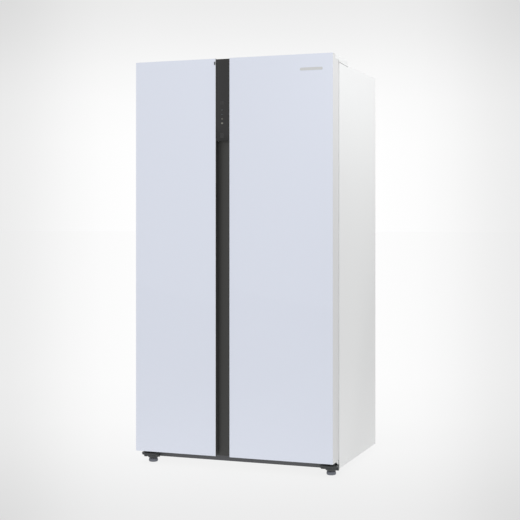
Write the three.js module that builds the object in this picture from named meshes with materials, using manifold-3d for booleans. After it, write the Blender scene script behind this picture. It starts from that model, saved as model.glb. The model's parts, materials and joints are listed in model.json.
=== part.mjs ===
// Side by side refrigerator: a tall freezer on the left, a wider fridge on the right, glass fronted
// doors with a dark recessed handle strip between them, on two levelling feet and two rear rollers.
// Millimetres. X runs to the right seen from the front, Y to the back, Z up.
// The origin is on the floor, under the middle of the refrigerator.

import * as THREE from "three";
import { mergeVertices } from "three/addons/utils/BufferGeometryUtils.js";
import Module from "manifold-3d";

const wasm = await Module();
wasm.setup();

// Overall size and the main planes
const width = 911;
const depth = 716;
const height = 1785;
const sideX = width / 2;
const frontY = -depth / 2;
const backY = depth / 2;
const doorBottomZ = 61;
const doorHeight = height - doorBottomZ;
const doorDepth = 85;
const cabinetFrontY = frontY + 100;
const cabinetBottomZ = 25;
const cabinetTopZ = 1760;
const gap = 0.3;
const sheet = 1.5;

// Door split and hinge pins
const doorGap = 3;
const splitX = -71;
const pinInset = 20;
const pinDepth = 67;
const pinX = sideX - pinInset;
const pinY = frontY + pinDepth;
const pinRadius = 4;
const pinHoleRadius = 4.6;

// Food compartments: the clear space inside each liner
const bayFloorZ = 115;
const bayTopZ = 1700;
const bayBackY = 300;
const stepY = 105;
const stepZ = 330;
const linerWall = 2.5;
const linerFlange = 6;
const freezerBay = { left: -395.5, right: -101 };
const fridgeBay = { left: -41, right: 405.5 };
const drawerLevels = [bayFloorZ + 1, 310];
const fridgeShelfLevels = [505, 770, 1030, 1290];
const freezerShelfLevels = [505, 850, 1200];
const shelfFrontY = -165;

// Machine compartment behind the step, under the food compartments
const machineFrontY = 150;
const machineTopZ = 290;
const panSheet = 2;
const rearPanelY = 354.7;
const plateSeamZ = 297;

// Doors, in a frame whose origin is the hinge pin at the door's bottom; X runs outwards
const glass = 3.2;
const doorFront = -pinDepth;
const doorRear = doorDepth - pinDepth;
const doorOuter = pinInset;
const linerFace = doorRear + gap + 2;
const sealRear = cabinetFrontY - pinY - gap;
const dykeRear = 62;
const dykeWidth = 22;
const dykeClearance = 8;
const sealWidth = 18;
const gripDepth = 25;
const gripSheet = 2;
const gripPocket = 18.5;
const noseWidth = 1.5;
const binLevels = [560, 900, 1240];
const binHeight = 95;
const notch = { x: -46, y: -28, z: doorHeight - 18.5 };

const fridgeDoor = {
  side: 1,
  name: "fridge",
  free: splitX + doorGap / 2 - pinX,
  nose: -9 - 1.8 - pinX,
  near: fridgeBay.right - pinX,
  far: fridgeBay.left - pinX,
};
const freezerDoor = {
  side: -1,
  name: "freezer",
  free: -splitX + doorGap / 2 - pinX,
  nose: -splitX + doorGap / 2 - pinX,
  near: -freezerBay.left - pinX,
  far: -freezerBay.right - pinX,
};
const stripTop = doorHeight - 3;
const displayHeight = 355;

// Feet and rollers
const footX = [-411, 423];
const footY = frontY + 88;
const rollerX = 400;
const rollerY = 300;
const rollerRadius = 18;

const axisX = new THREE.Vector3(1, 0, 0);
const axisY = new THREE.Vector3(0, 1, 0);
const axisZ = new THREE.Vector3(0, 0, 1);

// --- Solids ---

function solid(geometry) {
  geometry.deleteAttribute("normal");
  geometry.deleteAttribute("uv");
  const merged = mergeVertices(geometry, 1e-4);
  return new wasm.Manifold(new wasm.Mesh({
    numProp: 3,
    vertProperties: merged.attributes.position.array,
    triVerts: new Uint32Array(merged.index.array),
  }));
}

function geometryOf(body) {
  const mesh = body.getMesh();
  const geometry = new THREE.BufferGeometry();
  geometry.setAttribute("position", new THREE.BufferAttribute(mesh.vertProperties, 3));
  geometry.setIndex(new THREE.BufferAttribute(mesh.triVerts, 1));
  geometry.computeVertexNormals();
  return geometry;
}

const joined = (first, ...rest) => rest.reduce((body, next) => body.add(next), first);
const cut = (first, ...tools) => tools.reduce((body, tool) => body.subtract(tool), first);

// A block from its low and high value on each axis.
function block(x, y, z) {
  const box = new THREE.BoxGeometry(x[1] - x[0], y[1] - y[0], z[1] - z[0]);
  return solid(box.translate((x[0] + x[1]) / 2, (y[0] + y[1]) / 2, (z[0] + z[1]) / 2));
}

// An outline pushed along an axis. The outline is (y, z) for "x", (x, z) for "y" and (x, y) for "z".
function prism(axis, outline, from, to) {
  const shape = new THREE.Shape(outline.map(([a, b]) => new THREE.Vector2(a, b)));
  const pushed = new THREE.ExtrudeGeometry(shape, { depth: to - from, bevelEnabled: false });
  const place = new THREE.Matrix4();
  if (axis === "x") place.makeBasis(axisY, axisZ, axisX).setPosition(from, 0, 0);
  if (axis === "y") place.makeBasis(axisX, axisZ, axisY.clone().negate()).setPosition(0, to, 0);
  if (axis === "z") place.setPosition(0, 0, from);
  return solid(pushed.applyMatrix4(place));
}

// Points along an arc, from one angle to another in degrees.
function arc(a, b, radius, from, to, steps = 6) {
  return Array.from({ length: steps + 1 }, (_, i) => {
    const angle = THREE.MathUtils.degToRad(from + ((to - from) * i) / steps);
    return [a + radius * Math.cos(angle), b + radius * Math.sin(angle)];
  });
}

function rod(axis, [a, b], radius, from, to, sides = 24) {
  return prism(axis, arc(a, b, radius, 0, 360 - 360 / sides, sides - 1), from, to);
}

// A profile of (radius, height) turned about the Z axis.
function turned(profile, sides = 24) {
  const points = profile.map(([r, h]) => new THREE.Vector2(r, h));
  return solid(new THREE.LatheGeometry(points, sides).rotateX(Math.PI / 2));
}

// A tube with a round section along a curve.
function tube(curve, radius, steps, sides = 8) {
  const section = new THREE.Shape(
    arc(0, 0, radius, 0, 360 - 360 / sides, sides - 1).map(([a, b]) => new THREE.Vector2(a, b)),
  );
  return solid(new THREE.ExtrudeGeometry(section, { steps, extrudePath: curve, bevelEnabled: false }));
}

// --- Materials ---

const surface = (color, roughness, metalness = 0, opacity = 1) =>
  new THREE.MeshStandardMaterial({ color, roughness, metalness, opacity, transparent: opacity < 1 });
const whitePaint = () => surface(0xf0f1f1, 0.35);
const paleGlass = () => surface(0xd7dce7, 0.08);
const blackPlastic = () => surface(0x2e2f2f, 0.5);
const blackGlass = () => surface(0x3a3a39, 0.15);
const linerPlastic = () => surface(0xf4f5f6, 0.4);
const clearPlastic = () => surface(0xdfe8ee, 0.1, 0, 0.45);
const darkSteel = () => surface(0x4c4e52, 0.5, 0.6);
const zincSteel = () => surface(0xb8bbbd, 0.45, 0.8);
const foam = () => surface(0xe8dfb8, 0.95);
const rubber = () => surface(0xd9dadb, 0.8);

function put(parent, name, shape, material, place = [0, 0, 0]) {
  const mesh = new THREE.Mesh(shape.isBufferGeometry ? shape : geometryOf(shape), material);
  mesh.name = name;
  mesh.position.set(...place);
  parent.add(mesh);
}

// --- Cabinet ---

// The cabinet seen from the side, pulled in by an amount; its top rear corner is rounded.
function cabinetOutline(inset, low, front, back) {
  const top = cabinetTopZ - inset;
  const radius = 12 - inset;
  return [[front, low], [back, low], ...arc(backY - 12, cabinetTopZ - 12, radius, 0, 90), [front, top]];
}

function cabinetShell() {
  const inner = sideX - sheet;
  const flangeSpan = [cabinetFrontY - 1, cabinetFrontY + sheet];
  const window = [freezerBay.left - linerFlange - gap, fridgeBay.right + linerFlange + gap];
  const rearReturn = 14;
  return cut(
    prism("x", cabinetOutline(0, cabinetBottomZ, cabinetFrontY, backY), -sideX, sideX),
    prism("x", cabinetOutline(sheet, 0, cabinetFrontY + sheet, backY - sheet), -inner, inner),
    block(window, flangeSpan, [0, bayTopZ + linerFlange + gap]),
    block([-inner, inner], flangeSpan, [0, doorBottomZ + sheet]),
    block([-sideX + rearReturn, sideX - rearReturn], [backY - 5, backY + 1], [0, cabinetTopZ - rearReturn]),
  );
}

// A compartment seen from the side, grown by an amount, with the step over the machine compartment.
function bayOutline(grow, front) {
  return [
    [front, bayFloorZ - grow],
    [stepY + grow, bayFloorZ - grow],
    [stepY + grow, stepZ - grow],
    [bayBackY + grow, stepZ - grow],
    [bayBackY + grow, bayTopZ + grow],
    [front, bayTopZ + grow],
  ];
}

function bayBlock(bay, grow, front) {
  return prism("x", bayOutline(grow, front), bay.left - grow, bay.right + grow);
}

// Rails on both side walls that carry the shelves and the upper drawer.
function linerRails(bay, levels, railWidth, back) {
  const y = [shelfFrontY + 20, back];
  return levels.flatMap((level) => [
    block([bay.left - 1, bay.left + railWidth], y, [level - 9, level - gap]),
    block([bay.right - railWidth, bay.right + 1], y, [level - 9, level - gap]),
  ]);
}

function liner(bay, shelfLevels) {
  const flange = block(
    [bay.left - linerFlange, bay.right + linerFlange],
    [cabinetFrontY, cabinetFrontY + linerWall],
    [bayFloorZ - linerFlange, bayTopZ + linerFlange],
  );
  const skin = cut(
    joined(bayBlock(bay, linerWall, cabinetFrontY), flange),
    bayBlock(bay, 0, cabinetFrontY - 1),
  );
  return joined(
    skin,
    ...linerRails(bay, shelfLevels, 9, 235),
    ...linerRails(bay, [drawerLevels[1]], 12, stepY - 10),
  );
}

function cabinetFoam() {
  const front = cabinetFrontY + linerWall + gap;
  const back = rearPanelY - gap;
  const floor = doorBottomZ + 1 + gap;
  const top = cabinetTopZ - sheet - gap;
  const outline = [
    [front, floor],
    [machineFrontY - gap, floor],
    [machineFrontY - gap, machineTopZ + panSheet + gap],
    [back, machineTopZ + panSheet + gap],
    [back, top - 12],
    [back - 12, top],
    [front, top],
  ];
  const bays = [freezerBay, fridgeBay].map((bay) => bayBlock(bay, linerWall + gap, front - 1));
  const beamRoom = block([-403, 413], [front - 1, cabinetFrontY + 30 + gap], [floor - 1, bayFloorZ - 5]);
  return cut(prism("x", outline, -sideX + sheet + gap, sideX - sheet - gap), ...bays, beamRoom);
}

function mullionTrim() {
  return block(
    [freezerBay.right + linerFlange + gap, fridgeBay.left - linerFlange - gap],
    [cabinetFrontY, cabinetFrontY + linerWall],
    [bayFloorZ - linerFlange, bayTopZ + linerFlange],
  );
}

function frontBeam() {
  const y = [cabinetFrontY, cabinetFrontY + 30];
  const hollow = [cabinetFrontY + 2.5, cabinetFrontY + 31];
  const lowHalf = sideX - sheet - gap;
  const lowTop = doorBottomZ + 1;
  const top = bayFloorZ - linerFlange - gap;
  const upper = [freezerBay.left - linerFlange, fridgeBay.right + linerFlange];
  return cut(
    joined(block([-lowHalf, lowHalf], y, [23.5, lowTop]), block(upper, y, [lowTop - 1, top])),
    block([-lowHalf + 2.5, lowHalf - 2.5], hollow, [26, lowTop - 2.5]),
    block([upper[0] + 2.5, upper[1] - 2.5], hollow, [lowTop - 3, top - 2.5]),
  );
}

// Bottom sheet, machine compartment wall and floor, with the brackets and axles of the rear rollers.
function basePan() {
  const half = sideX - sheet - gap;
  const underside = doorBottomZ + 1;
  const back = rearPanelY - gap;
  const across = [-half, half];
  const sheets = joined(
    block(across, [cabinetFrontY + 31, machineFrontY + panSheet], [underside - panSheet, underside]),
    block(across, [machineFrontY, machineFrontY + panSheet], [cabinetBottomZ, machineTopZ + panSheet]),
    block(across, [machineFrontY, back], [machineTopZ, machineTopZ + panSheet]),
    block(across, [machineFrontY, back], [cabinetBottomZ, cabinetBottomZ + panSheet]),
  );
  const wells = [];
  const brackets = [];
  for (const x of [-rollerX, rollerX]) {
    wells.push(block([x - 13, x + 13], [rollerY - 22, rollerY + 22], [cabinetBottomZ - 1, cabinetBottomZ + 9]));
    for (const ear of [x - 15, x + 12.5]) {
      brackets.push(block([ear, ear + 2.5], [rollerY - 12, rollerY + 12], [8, cabinetBottomZ + 1]));
    }
    brackets.push(rod("x", [rollerY, rollerRadius], 4, x - 16, x + 16, 16));
  }
  return joined(cut(sheets, ...wells), ...brackets);
}

function slots(x, y, levels, tall) {
  return levels.map((z) => block(x, y, [z, z + tall]));
}

function rearPanel() {
  const x = [-sideX + 5.5, sideX - 5.5];
  const plate = block(x, [rearPanelY, rearPanelY + sheet], [plateSeamZ, cabinetTopZ - 12.5]);
  const beads = [620, 1000, 1380].map((z) =>
    block([-380, 380], [rearPanelY + sheet - 0.5, backY - 0.4], [z, z + 14]),
  );
  return joined(plate, ...beads);
}

function machineCover() {
  const through = [rearPanelY - 1, backY];
  const levels = Array.from({ length: 8 }, (_, i) => 90 + i * 22);
  const plate = block([-sideX + 5.5, sideX - 5.5], [rearPanelY, rearPanelY + sheet], [28, plateSeamZ - gap]);
  return cut(
    plate,
    ...slots([-390, -230], through, levels, 8),
    ...slots([-180, -20], through, levels, 8),
    ...slots([110, 270], through, levels, 8),
    rod("y", [350, 110], 9.4, ...through),
  );
}

function powerInlet() {
  return cut(
    joined(rod("y", [350, 110], 9, 338, backY - 0.5), rod("y", [350, 110], 16, rearPanelY + sheet + gap, backY)),
    rod("y", [350, 110], 4.5, 330, backY + 1),
  );
}

// --- Cooling circuit ---

function compressor() {
  const dome = turned([
    [0, 0], [50, 0], [66, 10], [74, 24], [75, 62], [77, 64], [77, 70], [75, 72],
    [74, 100], [68, 122], [54, 138], [30, 147], [0, 150],
  ]).translate(0, 0, 12);
  const plate = block([-98, 98], [-62, 62], [9, 13]);
  const mounts = [[-86, -50], [86, -50], [-86, 50], [86, 50]].map((at) => rod("z", at, 9, 0, 22, 16));
  const stubs = [[-30, 60], [0, 62], [30, 60]].map(([x, z]) => rod("y", [x, z + 30], 4, -92, -60, 12));
  const relay = block([60, 92], [-24, 24], [50, 98]);
  return joined(dome, plate, relay, ...mounts, ...stubs);
}

// One tube folded back and forth up the compartment, held by two upright straps.
function condenserCoil() {
  const passes = 6;
  const pitch = 34;
  const reach = 115;
  const points = [];
  for (let i = 0; i < passes; i += 1) {
    const way = i % 2 ? -1 : 1;
    for (const share of [-1, -0.5, 0, 0.5, 1]) {
      points.push(new THREE.Vector3(way * share * reach, 0, i * pitch));
    }
    if (i < passes - 1) {
      points.push(new THREE.Vector3(way * (reach + pitch / 2), 0, (i + 0.5) * pitch));
    }
  }
  const coil = tube(new THREE.CatmullRomCurve3(points, false, "centripetal"), 4, 66);
  const top = (passes - 1) * pitch + 10;
  const straps = [-60, 60].map((x) => block([x - 6, x + 6], [-5, -2], [-28, top]));
  return joined(coil, ...straps);
}

function fanRotor(radius, hub, thick, blades, sides = 20) {
  const vanes = Array.from({ length: blades }, (_, i) => {
    const vane = new THREE.BoxGeometry(radius - hub + 6, 2, thick * 1.2);
    vane.rotateX(0.6).translate((radius + hub) / 2 - 3, 0, 0);
    return solid(vane.rotateZ((i * 2 * Math.PI) / blades));
  });
  const boss = rod("z", [0, 0], hub, -thick / 2, thick / 2, sides);
  return joined(boss, ...vanes);
}

function condenserFanShroud() {
  const ring = cut(block([0, 3], [-88, 88], [-112, 112]), rod("x", [0, 0], 72, -1, 4, 32));
  const struts = joined(
    block([0, 44], [-6, 6], [100, 106]),
    block([0, 44], [-6, 6], [-106, -100]),
    block([40, 44], [-6, 6], [-106, 106]),
    rod("x", [0, 0], 18, 34, 66),
  );
  return joined(ring, struts, block([0, 30], [-60, 60], [-114, -111]));
}

function drainTray() {
  return cut(block([-95, 95], [-80, 80], [0, 34]), block([-92, 92], [-77, 77], [3, 35]));
}

function evaporator() {
  const tubes = [60, 240, 420].map((z) => rod("x", [0, z], 5, -132, 132, 8));
  const fins = Array.from({ length: 8 }, (_, i) => {
    const x = -119 + i * 34;
    return block([x - 1, x + 1], [-13, 13], [0, 480]);
  });
  return joined(...tubes, ...fins, block([-120, 120], [-13, -11], [130, 150]));
}

function evaporatorCover() {
  const x = [freezerBay.left + 1, freezerBay.right - 1];
  const front = 252;
  const z = [stepZ + 5, 1330];
  const inner = block([x[0] + 2.5, x[1] - 2.5], [front + 2.5, bayBackY], [z[0] + 2.5, z[1] - 2.5]);
  const middle = (x[0] + x[1]) / 2;
  const through = [front - 1, front + 4];
  const outlets = slots([middle - 90, middle + 90], through, [1040, 1064, 1088, 1112], 10);
  const returns = slots([middle - 90, middle + 90], through, [360, 384, 408], 10);
  return cut(block(x, [front, bayBackY - gap], z), inner, ...outlets, ...returns);
}

function airDuct() {
  const z = [345, 1660];
  const inner = block([-117, 117], [288.5, bayBackY], [z[0] + 2.5, z[1] - 2.5]);
  const vents = [600, 880, 1140, 1400, 1560].flatMap((level) => [
    block([-90, -20], [284, 290], [level, level + 12]),
    block([20, 90], [284, 290], [level, level + 12]),
  ]);
  return cut(block([-120, 120], [286, bayBackY - gap], z), inner, ...vents);
}

// --- Shelves and drawers ---

function shelf(bay, back) {
  const x = [bay.left + 1, bay.right - 1];
  return joined(
    block(x, [shelfFrontY, back], [0, 5]),
    block(x, [shelfFrontY, shelfFrontY + 10], [-12, 10]),
  );
}

function drawer(bay) {
  const x = [bay.left + 5, bay.right - 5];
  const y = [-128, 98];
  const tall = 176;
  const grip = (x[0] + x[1]) / 2;
  return joined(
    cut(block(x, y, [0, tall]), block([x[0] + 3, x[1] - 3], [y[0] + 6, y[1] - 3], [3, tall + 1])),
    block([grip - 70, grip + 70], [y[0] - 10, y[0] + 1], [tall - 24, tall - 16]),
  );
}

// --- Hinges ---

const outward = (side, [a, b]) => (side > 0 ? [a, b] : [-b, -a]);
const mirrored = (side, outline) => outline.map(([x, y]) => [side * x, y]);

// A folded plate with a skirt, a flange against the cabinet, a short cheek at its outer end and a tapered
// boss which takes the stem of the levelling foot.
function lowerHinge(side, foot) {
  const reach = cabinetFrontY - gap - pinY;
  const stem = [foot - side * pinX, footY - pinY];
  const plate = [[-51, reach], [-51, -26], [6, -26], [19.5, -6], [19.5, reach]];
  const hollow = [[-52, reach + 1], [-52, -23], [4.4, -23], [16.5, -5], [16.5, reach + 1]];
  const toe = [[reach - 17, 24], [reach - 14, 19.5], [reach - 7, 18.5], [reach - 1.5, 22], [reach, 27]];
  const cheek = [...toe, [reach, 44], [reach - 17, 44]];
  const cone = [[0, 16.6], [18, 16.6], [19.5, 18], [24, 21], [27, 25], [27, 41.5], [0, 41.5]];
  const boss = turned(cone).translate([...stem, 0]);
  const innerRib = outward(side, [-51, -48]);
  const body = joined(
    cut(prism("z", mirrored(side, plate), 36, 44), prism("z", mirrored(side, hollow), 35, 41)),
    block(outward(side, [-51, 12]), [reach - 4.5, reach], [20, 44]),
    prism("x", [[reach, 20], [reach, 42], [-20, 42], [-20, 37], [1, 25.5]], ...innerRib),
    prism("x", cheek, ...outward(side, [9, 19.5])),
    cut(boss, block([-90, 90], [reach, 90], [0, 90])),
  );
  return joined(
    cut(body, rod("z", stem, 5.6, 10, 50)),
    rod("z", [0, 0], 11, 43, doorBottomZ - 0.6),
    rod("z", [0, 0], pinRadius, 50, doorBottomZ + 18, 16),
  );
}

function upperHinge(side) {
  const low = cabinetTopZ + gap;
  const arm = [height - 17, height - 13.5];
  return joined(
    rod("z", [0, 0], 13, ...arm),
    block([-13, 13], [0, 43], arm),
    block([-13, 13], [39, 43], [low, arm[1]]),
    block(outward(side, [-50, 13]), [39, 140], [low, low + 3.5]),
    rod("z", [0, 0], pinRadius, height - 37, height - 15, 16),
  );
}

function hingeCover(side) {
  const low = cabinetTopZ + gap;
  const nose = height - 17.7;
  const top = height - 1.5;
  const front = cabinetFrontY - pinY;
  const body = [
    [front + 0.5, low], [front + 133, low],
    ...arc(front + 121, top - 12, 12, 0, 90),
    [front - 8, top], [front - 8, nose], [front + 0.5, nose],
  ];
  const noseOutline = [...arc(-8, -10, 10, 180, 270), ...arc(6, -10, 10, 270, 360), [16, front], [-18, front]];
  const noseRoom = [...arc(-8, -10, 8, 180, 270), ...arc(6, -10, 8, 270, 360), [14, front + 5], [-16, front + 5]];
  return cut(
    joined(
      prism("x", body, ...outward(side, [-63.5, 17])),
      prism("z", mirrored(side, noseOutline), nose, top),
    ),
    block(outward(side, [-61.5, 15]), [front + 2.5, front + 119], [low - 1, top - 2]),
    block(outward(side, [-61.5, 15]), [front - 6, front + 3], [nose - 1, top - 2]),
    prism("z", mirrored(side, noseRoom), nose - 1, top - 2),
  );
}

// --- Doors ---

// The door seen from above: a full thickness slab with a corner left free for the handle strip.
function doorOutline(door, inset, rear) {
  const free = door.free + inset;
  const step = door.nose + gripPocket + gap + inset;
  const strip = doorFront + gripDepth + gripSheet + gap + inset;
  const front = doorFront + glass + gap + inset;
  const outer = doorOuter - inset;
  return mirrored(door.side, [
    [free, strip], [step, strip], [step, front], [outer, front], [outer, rear], [free, rear],
  ]);
}

// Solid corners that hold the hinge pins.
function pinBosses(door, grow) {
  const { side } = door;
  const top = [notch.z - 22 - grow, doorHeight];
  return [
    block(outward(side, [-22 - grow, doorOuter]), [-24 - grow, doorRear], [0, 30 + grow]),
    block(outward(side, [notch.x - 2 - grow, doorOuter]), [notch.y - 2 - grow, doorRear], top),
  ];
}

function notchRoom(side, grow = 0) {
  return block(
    outward(side, [notch.x - grow, doorOuter + 1]),
    [notch.y - grow, doorRear + 10],
    [notch.z - grow, doorHeight + 1],
  );
}

function doorShell(door) {
  const hollow = prism("z", doorOutline(door, sheet, doorRear + 1), sheet, doorHeight - sheet);
  const skin = cut(prism("z", doorOutline(door, 0, doorRear), 0, doorHeight), hollow);
  return cut(
    joined(skin, ...pinBosses(door, 0)),
    notchRoom(door.side),
    rod("z", [0, 0], pinHoleRadius, -1, 21, 16),
    rod("z", [0, 0], pinHoleRadius, notch.z - 20.5, notch.z + 1, 16),
  );
}

function doorFoam(door) {
  const inset = sheet + gap;
  return cut(
    prism("z", doorOutline(door, inset, doorRear), inset, doorHeight - inset),
    ...pinBosses(door, gap),
  );
}

function doorGlass(door) {
  const x = outward(door.side, [door.nose + noseWidth + gap, doorOuter]);
  return block(x, [doorFront, doorFront + glass], [0, doorHeight]);
}

// Inner panel with a raised dyke that reaches into the compartment and holds the door bins.
function doorLiner(door) {
  const { side } = door;
  const face = [doorRear + gap, linerFace];
  const plate = block(outward(side, [door.free + 1, doorOuter - 1]), face, [1, doorHeight - 1]);
  const across = [door.far + dykeClearance, door.near - dykeClearance];
  const up = [bayFloorZ - doorBottomZ + dykeClearance, bayTopZ - doorBottomZ - dykeClearance];
  const inside = [across[0] + dykeWidth, across[1] - dykeWidth];
  const dyke = cut(
    block(outward(side, across), [face[0], dykeRear], up),
    block(outward(side, inside), [face[0] - 1, dykeRear + 1], [up[0] + dykeWidth, up[1] - dykeWidth]),
  );
  return cut(joined(plate, dyke), notchRoom(side, gap));
}

function doorSeal(door) {
  const { side } = door;
  const y = [linerFace + gap, sealRear];
  const across = [door.free + 3.5, -0.8];
  const up = [bayFloorZ - doorBottomZ - 25, bayTopZ - doorBottomZ + 25];
  const hole = [across[0] + sealWidth, across[1] - sealWidth];
  return cut(
    block(outward(side, across), y, up),
    block(outward(side, hole), [y[0] - 1, y[1] + 1], [up[0] + sealWidth, up[1] - sealWidth]),
  );
}

// A dark profile with a finger pocket behind the glass edge; its floor runs on to the free edge.
function gripProfile(door, top) {
  const { nose } = door;
  const back = doorFront + gripDepth + gripSheet;
  const lip = doorFront + glass + gap;
  return prism("z", mirrored(door.side, [
    [nose, doorFront],
    [nose + noseWidth, doorFront],
    [nose + noseWidth, lip],
    [nose + gripPocket, lip],
    [nose + gripPocket, back],
    [door.free, back],
    [door.free, back - gripSheet],
    [nose + gripPocket - gripSheet, back - gripSheet],
    [nose + gripPocket - gripSheet, lip + 3],
    [nose, lip + 3],
  ]), 0, top);
}

function displayPanel() {
  const x = [fridgeDoor.free, fridgeDoor.nose - gap];
  return block(x, [doorFront, doorFront + gripDepth - gap], [stripTop - displayHeight, stripTop]);
}

function doorBin(door) {
  const wall = 2.5;
  const clear = dykeClearance + dykeWidth + 0.5;
  const x = outward(door.side, [door.far + clear, door.near - clear]);
  const y = [linerFace + gap, 112];
  const room = block([x[0] + wall, x[1] - wall], [y[0] + wall, y[1] - wall], [wall, binHeight + 1]);
  return cut(block(x, y, [0, binHeight]), room);
}

// --- Feet and rollers ---

function levellingFoot() {
  const base = [[0, 0], [17, 0], [19.5, 2.5], [20.5, 6], [20.5, 11], [19.5, 14.5], [16.5, 16.2]];
  return turned([...base, [5, 16.2], [5, 52], [0, 52]]);
}

function roller() {
  const r = rollerRadius;
  const wheel = turned([[5, -10], [r - 2, -10], [r, -8], [r, 8], [r - 2, 10], [5, 10], [5, -10]]);
  return geometryOf(wheel).rotateY(Math.PI / 2);
}

// --- Assembly ---

const refrigerator = new THREE.Group();

function addCabinet(parent) {
  put(parent, "cabinet_shell", cabinetShell(), whitePaint());
  put(parent, "rear_panel", rearPanel(), zincSteel());
  put(parent, "base_pan", basePan(), zincSteel());
  put(parent, "cabinet_foam", cabinetFoam(), foam());
  put(parent, "freezer_liner", liner(freezerBay, freezerShelfLevels), linerPlastic());
  put(parent, "fridge_liner", liner(fridgeBay, fridgeShelfLevels), linerPlastic());
  put(parent, "mullion_trim", mullionTrim(), whitePaint());
  put(parent, "front_beam", frontBeam(), darkSteel());
  put(parent, "machine_cover", machineCover(), zincSteel());
  put(parent, "power_inlet", powerInlet(), blackPlastic());
}

function addCooling(parent) {
  const floor = cabinetBottomZ + panSheet + gap;
  const middleY = (machineFrontY + rearPanelY) / 2;
  put(parent, "compressor", compressor(), blackPlastic(), [255, middleY, floor]);
  put(parent, "drain_tray", drainTray(), blackPlastic(), [40, middleY, floor]);
  put(parent, "condenser_coil", condenserCoil(), darkSteel(), [-270, middleY - 20, floor + 28]);
  const fanZ = floor + 114;
  put(parent, "condenser_fan_shroud", condenserFanShroud(), zincSteel(), [-125, middleY, fanZ]);
  const rotor = geometryOf(fanRotor(68, 20, 20, 5)).rotateY(Math.PI / 2);
  put(parent, "condenser_fan_rotor", rotor, blackPlastic(), [-106, middleY, fanZ]);
  const middleX = (freezerBay.left + freezerBay.right) / 2;
  put(parent, "evaporator", evaporator(), zincSteel(), [middleX, 280, 440]);
  put(parent, "evaporator_cover", evaporatorCover(), linerPlastic());
  const blower = geometryOf(fanRotor(58, 18, 18, 5)).rotateX(Math.PI / 2);
  put(parent, "evaporator_fan_rotor", blower, linerPlastic(), [middleX, 276, 1081]);
  put(parent, "fridge_air_duct", airDuct(), linerPlastic(), [(fridgeBay.left + fridgeBay.right) / 2, 0, 0]);
  const lamp = block([-60, 60], [-30, 30], [-6, 0]);
  put(parent, "fridge_lamp", lamp, clearPlastic(), [180, -70, bayTopZ - gap]);
}

function addStorage(parent) {
  freezerShelfLevels.forEach((z, i) => {
    put(parent, `freezer_shelf_${i + 1}`, shelf(freezerBay, 246), clearPlastic(), [0, 0, z]);
  });
  fridgeShelfLevels.forEach((z, i) => {
    put(parent, `fridge_shelf_${i + 1}`, shelf(fridgeBay, 282), clearPlastic(), [0, 0, z]);
  });
  drawerLevels.forEach((z, i) => {
    put(parent, `freezer_drawer_${i + 1}`, drawer(freezerBay), clearPlastic(), [0, 0, z]);
    put(parent, `fridge_crisper_${i + 1}`, drawer(fridgeBay), clearPlastic(), [0, 0, z]);
  });
}

function addHingesAndFeet(parent) {
  for (const [side, word, foot] of [[-1, "left", footX[0]], [1, "right", footX[1]]]) {
    const pin = [side * pinX, pinY, 0];
    put(parent, `${word}_lower_hinge`, lowerHinge(side, foot), darkSteel(), pin);
    put(parent, `${word}_upper_hinge`, upperHinge(side), zincSteel(), pin);
    put(parent, `${word}_hinge_cover`, hingeCover(side), whitePaint(), pin);
    put(parent, `${word}_front_foot`, levellingFoot(), blackPlastic(), [foot, footY, 0]);
    put(parent, `${word}_rear_roller`, roller(), blackPlastic(), [side * rollerX, rollerY, rollerRadius]);
  }
}

function addDoor(parent, door, profileName, profileTop) {
  const leaf = new THREE.Group();
  leaf.position.set(door.side * pinX, pinY, doorBottomZ);
  parent.add(leaf);
  put(leaf, `${door.name}_door_shell`, doorShell(door), whitePaint());
  put(leaf, `${door.name}_door_foam`, doorFoam(door), foam());
  put(leaf, `${door.name}_door_glass`, doorGlass(door), paleGlass());
  put(leaf, `${door.name}_door_liner`, doorLiner(door), linerPlastic());
  put(leaf, `${door.name}_door_seal`, doorSeal(door), rubber());
  put(leaf, profileName, gripProfile(door, profileTop), blackPlastic());
  binLevels.forEach((z, i) => {
    put(leaf, `${door.name}_bin_${i + 1}`, doorBin(door), clearPlastic(), [0, 0, z]);
  });
  return leaf;
}

addCabinet(refrigerator);
addCooling(refrigerator);
addStorage(refrigerator);
addHingesAndFeet(refrigerator);
addDoor(refrigerator, freezerDoor, "freezer_grip_profile", doorHeight);
const fridgeLeaf = addDoor(refrigerator, fridgeDoor, "handle_channel", stripTop);
put(fridgeLeaf, "display_panel", displayPanel(), blackGlass());

export default refrigerator;
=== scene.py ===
import json
import math

import bmesh
import bpy
from mathutils import Matrix, Vector


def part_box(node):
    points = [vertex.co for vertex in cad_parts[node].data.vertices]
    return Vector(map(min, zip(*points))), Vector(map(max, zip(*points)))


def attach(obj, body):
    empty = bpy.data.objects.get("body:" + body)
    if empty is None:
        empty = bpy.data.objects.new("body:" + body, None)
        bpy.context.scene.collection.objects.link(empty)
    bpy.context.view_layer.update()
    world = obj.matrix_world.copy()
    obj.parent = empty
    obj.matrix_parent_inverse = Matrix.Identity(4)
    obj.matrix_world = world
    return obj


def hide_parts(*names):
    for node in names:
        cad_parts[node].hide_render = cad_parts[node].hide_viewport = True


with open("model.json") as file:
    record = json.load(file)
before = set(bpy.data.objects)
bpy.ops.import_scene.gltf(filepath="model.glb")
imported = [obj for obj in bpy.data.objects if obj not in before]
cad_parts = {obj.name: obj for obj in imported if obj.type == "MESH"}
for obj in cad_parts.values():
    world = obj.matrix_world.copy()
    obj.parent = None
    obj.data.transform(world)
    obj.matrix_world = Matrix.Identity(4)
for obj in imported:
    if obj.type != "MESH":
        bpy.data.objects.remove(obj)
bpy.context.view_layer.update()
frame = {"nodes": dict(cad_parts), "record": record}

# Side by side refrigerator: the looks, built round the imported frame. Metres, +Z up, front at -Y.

MM = 0.001
SCENE = bpy.context.scene
AXES = {"x": Vector((1, 0, 0)), "y": Vector((0, 1, 0)), "z": Vector((0, 0, 1))}
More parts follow.
